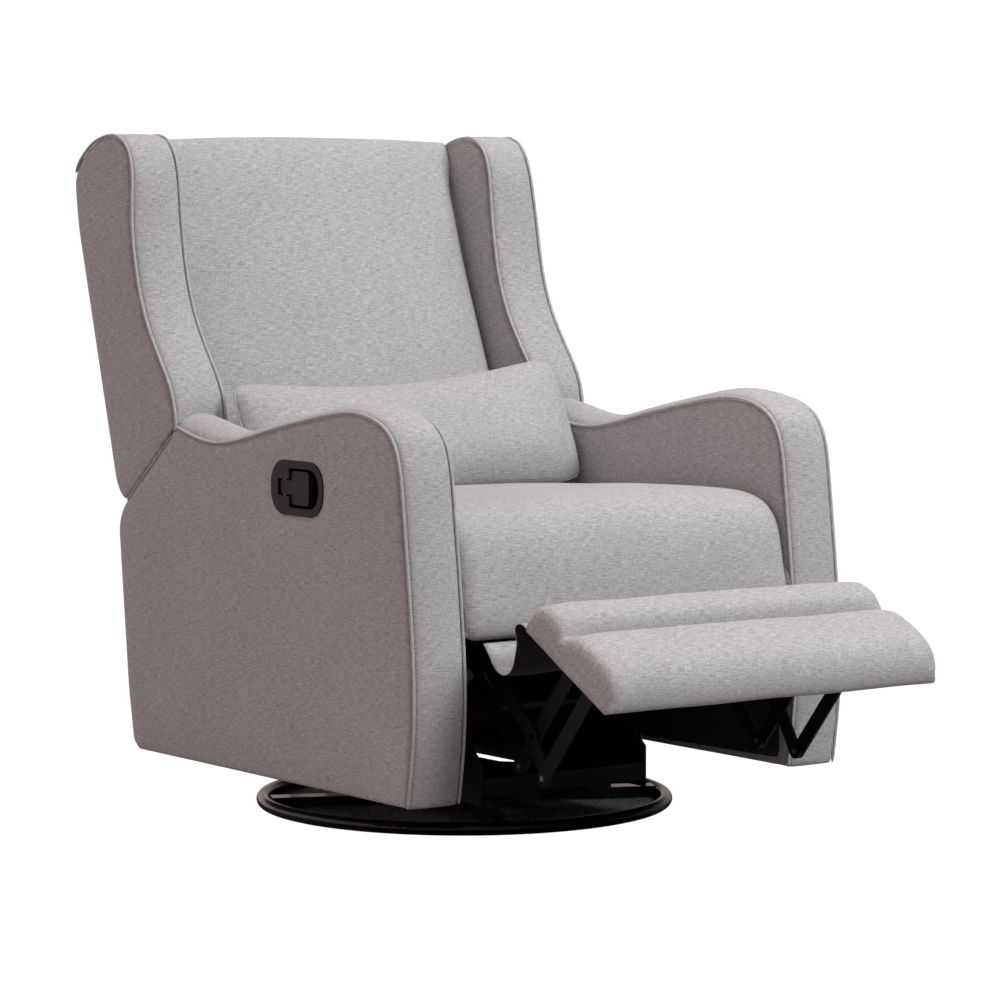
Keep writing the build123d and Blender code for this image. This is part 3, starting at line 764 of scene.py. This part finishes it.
def make_seat():
    rear, low = SEAT_HIGH[1], SEAT_LOW[2]
    middle = closed(
        [
            (200, 462), (60, 472), (-100, 482), (-200, 488), (-290, 489), (-345, 483), (-382, 467),
            (-402, 442), (-413, 412), (-421, 370), (-424, 330), (-418, 308), (-404, low),
        ],
        [(-392, low), (-392, 345), (rear, 345), (rear, 462)],
        (4, 8, 14, 14),
    )
    edge = closed(
        [
            (200, 456), (60, 462), (-100, 470), (-200, 475), (-280, 477), (-335, 473), (-368, 461),
            (-388, 439), (-398, 411), (-407, 370), (-414, 330), (-411, 310), (-403, low),
        ],
        [(-392, low), (-392, 345), (rear, 345), (rear, 452)],
        (4, 8, 14, 14),
    )
    cloth = filled_form(middle, edge, SEAT_HIGH[0] - 0.5, 2.4, 24)
    seat = cloth.make("seat_cushion_cover", "carriage", LINEN)
    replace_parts(seat, "seat_cushion")


def back_give(loop):
    """The back's front rounds off at its sides; its rear and its top edge stay full."""
    front = smooth_step(484 - loop[:, 0], 0, 40)
    below_top = smooth_step(985 - loop[:, 1], 0, 60)
    return front * below_top * 0.999 + 0.001


def make_back():
    rear = [(300, 462), (345, 470), (462, 925), (498, 938), (506, 952), (501, 970)]
    middle = closed(
        [
            (480, 990), (464, 997), (440, 993), (410, 964), (378, 904), (330, 800), (289, 700),
            (256, 616), (232, 545), (222, 500), (228, 472), (246, 460),
        ],
        rear,
        (10, 20, 6, 6, 8, 8),
    )
    edge = closed(
        [
            (482, 986), (472, 991), (458, 988), (442, 962), (419, 904), (384, 800), (344, 700),
            (310, 616), (282, 545), (264, 500), (262, 476), (272, 464),
        ],
        rear,
        (10, 20, 6, 6, 8, 8),
    )
    cloth = filled_form(middle, edge, BACK_HIGH[0] + 1.0, 2.0, 34, give=back_give(middle))
    back = cloth.make("back_cushion_cover", "backrest", LINEN)
    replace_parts(back, "back_cushion")


# ---------------------------------------------------------------- footrest
def on_pad(points):
    """Footrest points: u down its slope from the rear edge, v square to it."""
    u, v = np.array(points, float).T
    y = PAD_REAR[0] - u * cos(PAD_TILT) - v * sin(PAD_TILT)
    z = PAD_REAR[1] - u * sin(PAD_TILT) + v * cos(PAD_TILT)
    return np.column_stack((y, z))


def footrest_side(lift, depth):
    """The roll, the sewn channel and the long pad, wrapped round the board."""
    low = -2.5
    top = 38 + lift
    roll = [
        (0, low), (-5, 12), (-3, 28), (8, top), (30, top + 6), (54, top + 3),
        (64, top + 1 - 0.5 * depth), (69, top - depth),
    ]
    pad = [
        (69, top - depth), (75, top + 1 - 0.5 * depth), (88, top + 5), (112, top + 11),
        (146, top + 13), (176, top + 9), (196, 35 + lift / 2), (205, 18), (203, 4), (196, low),
    ]
    roll, pad = spaced(sweep(roll), 40), spaced(sweep(pad), 60)
    under = spaced(np.array([(196, low), (0, low)]), 16)
    flat = np.vstack((roll[:-1], pad[:-1], under[:-1]))
    return on_pad(flat), smooth_step(flat[:, 1], 4, 26)


def make_footrest():
    middle, give = footrest_side(8, 20)
    edge, _ = footrest_side(1, 4)
    half = PAD_HIGH[0] + 1.0
    cloth = filled_form(middle, edge, half, 12.0, 14, ripple=1.4, stations=81, give=give)
    pad = cloth.make("footrest_pad_cover", "footrest_pad", LINEN)
    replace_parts(pad, "footrest_roll", "footrest_cushion")


def sheet_between(line, half, ripple=0.0, seed=0.0):
    """A thin sheet: a side-view line drawn across the chair."""
    cloth = Fabric()
    stations = np.linspace(-half, half, 45)
    normals = outward(np.vstack((line, line[-1:] * 2 - line[-2:-1])))[: len(line)]
    ends = np.sin(np.linspace(0, pi, len(line)))
    rows = []
    for i, point in enumerate(line):
        row = []
        for x in stations:
            lift = ripple * ends[i] * noise.noise(Vector((x / 70, i / 30, seed)))
            row.append((x, *(point + normals[i] * lift)))
        rows.append(row)
    cloth.lattice(np.array(rows), stations, travel(line), closed=False)
    return cloth


def thicken(obj, thickness, lining=None):
    """Give a sheet its thickness, and its underside another cloth where one is given; the flap's
    black underside is painted shade.
    """
    solid = obj.modifiers.new("thickness", "SOLIDIFY")
    solid.thickness = thickness * MM
    solid.offset = 0
    if lining:
        obj.data.materials.append(lining)
        solid.material_offset = 1


def make_flap():
    line = stepped(
        sweep(
            [
                (-415, 297), (-428, 283), (-441, 267), (-463, 258), (-480, 266), (-489, 286),
                (-492, 310), (-489, 327), (-496, 332), (-520, 324), (-564, 306),
            ]
        ),
        5.0,
    )
    half = FLAP_HIGH[0] - 1
    cloth = sheet_between(line, half, 5.0, 1.5)
    flap = cloth.make("footrest_flap_cloth", "carriage", LINEN)
    # The flap's underside is black cloth: painted shade for the shadow it hangs in below the seat.
    thicken(flap, 1.4, BLACK_CLOTH)
    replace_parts(flap, "footrest_flap")
    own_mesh(flap)


# ---------------------------------------------------------------- rear of the chair
def plate_form(outline, half, swell, name, body, node):
    """A thin panel wrapped in cloth, a little fuller in the middle."""
    edge = spaced(rounded([*outline, outline[0]], [3.0] * (len(outline) - 1)), 120)[:-1]
    middle = edge + outward(edge) * swell
    cloth = filled_form(middle, edge, half, 4.0, 3.0, ripple=0.8, stations=41)
    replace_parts(cloth.make(name, body, LINEN), node)


def make_rear():
    low, high = span("rear_panel")
    outline = [(312, low[2]), (327, low[2]), (343, 163), (362, 345), (348, 345), (329, 163)]
    plate_form(outline, high[0] + 1, 1.5, "rear_panel_cover", "carriage", "rear_panel")

    along = np.array(BACK_TOP) - np.array(BACK_FOOT)
    length = hypot(*along)
    along /= length
    square = np.array((along[1], -along[0]))
    foot = np.array(BACK_FOOT)
    corners = []
    for up, out in ((-22, -12), (-22, -1), (486, -1), (497, -5), (497, -14)):
        corners.append(tuple(foot + along * up + square * out))
    plate_form(corners, BACK_HIGH[0] + 1, 2.0, "back_panel_cover", "backrest", "back_panel")

    line = stepped(sweep([(356, 342), (358, 366), (354, 392), (356, 420), (369, 450)]), 6.0)
    half = SEAT_HIGH[0] - 1
    gap = sheet_between(line, half, 4.0, 7.0).make("rear_gap_cloth", None, LINEN)
    thicken(gap, 1.4)
    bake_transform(gap)


# ---------------------------------------------------------------- loose pillow
PILLOW_LEAN = radians(21)
PILLOW_ROLL = 0.040
PILLOW_HALF = (298.0, 103.0, 68.0)


def pillow_place(u, v, face):
    """A point on one face of the pillow, for u along it and v up it, each from -1 to 1.

    Its top edge sags between its corners, and it is fuller low down than high up.
    """
    length, height, thick = PILLOW_HALF
    across = length * u * (1 - 0.045 * abs(v) ** 9) * (0.99 + 0.01 * v - 0.012 * (1 - v * v))
    sag = 0.25 * (1 - u * u) if v > 0 else 0.05
    up = height * v * (1 - 0.08 * abs(u) ** 14) * (1 - sag)
    room = (1 - abs(u) ** 4.5) ** 0.62 * (1 - abs(v) ** 2.4) ** 0.6
    near = np.exp(-(1 - max(abs(u), abs(v))) / 0.10)
    pucker = 1 + 0.10 * near * noise.noise(Vector((across / 14, up / 14, face)))
    fold = 5.0 * room * noise.noise(Vector((across / 150, up / 90, 4.0 + face)))
    corner = (abs(u) * abs(v)) ** 3
    fold += 7.0 * corner * room * noise.noise(Vector((across / 30, up / 55, 8.0)))
    out = face * ((thick * (1 - 0.16 * v)) * room * pucker + fold)
    middle = (PILLOW_LOW + PILLOW_HIGH) / 2
    y = middle[1] - 6 - out * cos(PILLOW_LEAN) + up * sin(PILLOW_LEAN) - 5 * (1 - v) ** 2
    z = middle[2] - 9 + out * sin(PILLOW_LEAN) + up * cos(PILLOW_LEAN) + PILLOW_ROLL * across
    return across, y, z


def make_pillow():
    columns, rows = 90, 40
    cloth = Fabric()
    us = np.linspace(-1, 1, columns + 1)
    us = np.sin(us * pi / 2) * 0.5 + us * 0.5
    vs = np.sin(np.linspace(-pi / 2, pi / 2, rows + 1))
    front, rear = (
        np.array([[pillow_place(u, v, face) for u in us] for v in vs]) for face in (1, -1)
    )
    cloth.lattice(front, us * 300.0, vs * 105.0, closed=False)
    cloth.lattice(rear[:, ::-1], us[::-1] * 300.0, vs * 105.0, closed=False)
    pillow = cloth.make("lumbar_pillow_cover", "pillow", LINEN)
    weld(pillow)
    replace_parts(pillow, "lumbar_pillow")
    rim = np.vstack((front[0, :-1], front[:-1, -1], front[-1, :0:-1], front[:0:-1, 0]))
    seam = tube(rim, WELT, sides=8, closed=True)
    seam.make("lumbar_pillow_seam", "pillow", LINEN)


def weld(obj):
    """Join vertices that lie on each other."""
    shape = bmesh.new()
    shape.from_mesh(obj.data)
    bmesh.ops.remove_doubles(shape, verts=shape.verts, dist=0.00005)
    shape.to_mesh(obj.data)
    shape.free()


# ---------------------------------------------------------------- stage
def white_to_camera(name, colour):
    """A pale floor that the camera sees as the plain white of the backdrop."""
    material, tree, shader = start_material(name, Roughness=0.9, Specular_IOR_Level=0.1)
    shader.inputs["Base Color"].default_value = (*colour, 1)
    white = add(tree, "ShaderNodeEmission", {"Strength": 1.05})
    path = add(tree, "ShaderNodeLightPath")
    mix = add(tree, "ShaderNodeMixShader")
    tree.links.new(path.outputs["Is Camera Ray"], mix.inputs[0])
    tree.links.new(shader.outputs[0], mix.inputs[1])
    tree.links.new(white.outputs[0], mix.inputs[2])
    tree.links.new(mix.outputs[0], tree.nodes["Material Output"].inputs["Surface"])
    return material


def make_stage():
    """A pale floor, a patch of painted shadow inside the base ring, a fill from the rear and two
    lights.
    """
    mesh = bpy.data.meshes.new("floor")
    reach = 14.0
    corners = [(-reach, -reach), (reach, -reach), (reach, reach), (-reach, reach)]
    mesh.from_pydata([(x, y, -0.0006) for x, y in corners], [], [(0, 1, 2, 3)])
    floor = bpy.data.objects.new("floor", mesh)
    bpy.context.scene.collection.objects.link(floor)
    floor.data.materials.append(white_to_camera("floor", (0.27, 0.26, 0.26)))

    # A dark disc on the floor inside the base ring: painted shadow, mottled by a fine grain.
    low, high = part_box("base_ring")
    reach = high[0] - 0.012
    corners = [(reach * cos(a), reach * sin(a), 0.0004) for a in np.linspace(0, 2 * pi, 97)[:-1]]
    mesh = bpy.data.meshes.new("painted_shadow_in_ring")
    mesh.from_pydata(corners, [], [tuple(range(96))])
    painted_shadow_patch = bpy.data.objects.new("painted_shadow_in_ring", mesh)
    bpy.context.scene.collection.objects.link(painted_shadow_patch)
    material, tree, shader = start_material("painted_shadow_in_ring", Roughness=0.9, Specular_IOR_Level=0.1)
    place = add(tree, "ShaderNodeTexCoord").outputs["Object"]
    # Painted shadow: the floor's grain is kept dark between 0.10 and 0.40.
    pile_in_painted_shadow = ramp(tree, grain(tree, place, (160, 160, 160), 4), 0.3, 0.7, (0.10,) * 3, (0.40,) * 3)
    tree.links.new(pile_in_painted_shadow, shader.inputs["Base Color"])
    painted_shadow_patch.data.materials.append(material)

    world = bpy.data.worlds.new("studio")
    bpy.context.scene.world = world
    world.use_nodes = True
    tree = world.node_tree
    tree.nodes.clear()
    place = add(tree, "ShaderNodeTexCoord").outputs["Generated"]
    toward_fill = {0: place, 1: (-0.62, 0.78, 0)}
    facing = add(tree, "ShaderNodeVectorMath", toward_fill, operation="DOT_PRODUCT")
    level = math(tree, "MULTIPLY_ADD", facing.outputs["Value"], 0.50, 0.47)
    fill = add(tree, "ShaderNodeBackground", {"Color": (1.0, 0.83, 0.82, 1), "Strength": level})
    white = add(tree, "ShaderNodeBackground", {"Color": (1, 1, 1, 1), "Strength": 1.05})
    path = add(tree, "ShaderNodeLightPath")
    mix = add(tree, "ShaderNodeMixShader")
    tree.links.new(path.outputs["Is Camera Ray"], mix.inputs[0])
    tree.links.new(fill.outputs[0], mix.inputs[1])
    tree.links.new(white.outputs[0], mix.inputs[2])
    output = add(tree, "ShaderNodeOutputWorld")
    tree.links.new(mix.outputs[0], output.inputs["Surface"])

    cool = (0.935, 0.965, 0.985)
    add_light("key", (1.0, -3.8, 3.1), 1.6, 148, cool)
    add_light("top", (0.9, -0.5, 4.2), 1.6, 74, cool)


def add_light(name, place, size, power, colour):
    """A square soft light aimed at the middle of the chair."""
    middle = (0, 0, 0.5)
    light = bpy.data.lights.new(name, "AREA")
    light.size = size
    light.energy = power
    light.color = colour
    obj = bpy.data.objects.new(name, light)
    obj.location = place
    obj.rotation_euler = (Vector(middle) - Vector(place)).to_track_quat("-Z", "Y").to_euler()
    bpy.context.scene.collection.objects.link(obj)


def make_camera():
    camera = bpy.data.cameras.new("camera")
    camera.sensor_width = 36.0
    camera.lens = 142.8
    camera.clip_end = 100
    obj = bpy.data.objects.new("camera", camera)
    obj.location = (-3.41466, -4.80384, 0.92996)
    obj.rotation_euler = (pi / 2 - 0.0804, 0, -0.627)
    bpy.context.scene.collection.objects.link(obj)
    bpy.context.scene.camera = obj


make_camera()
make_stage()
dress_cad_nodes()
make_arms()
make_wings()
make_seat()
make_back()
make_footrest()
make_flap()
make_rear()
make_pillow()
bpy.context.scene.view_settings.view_transform = "Standard"
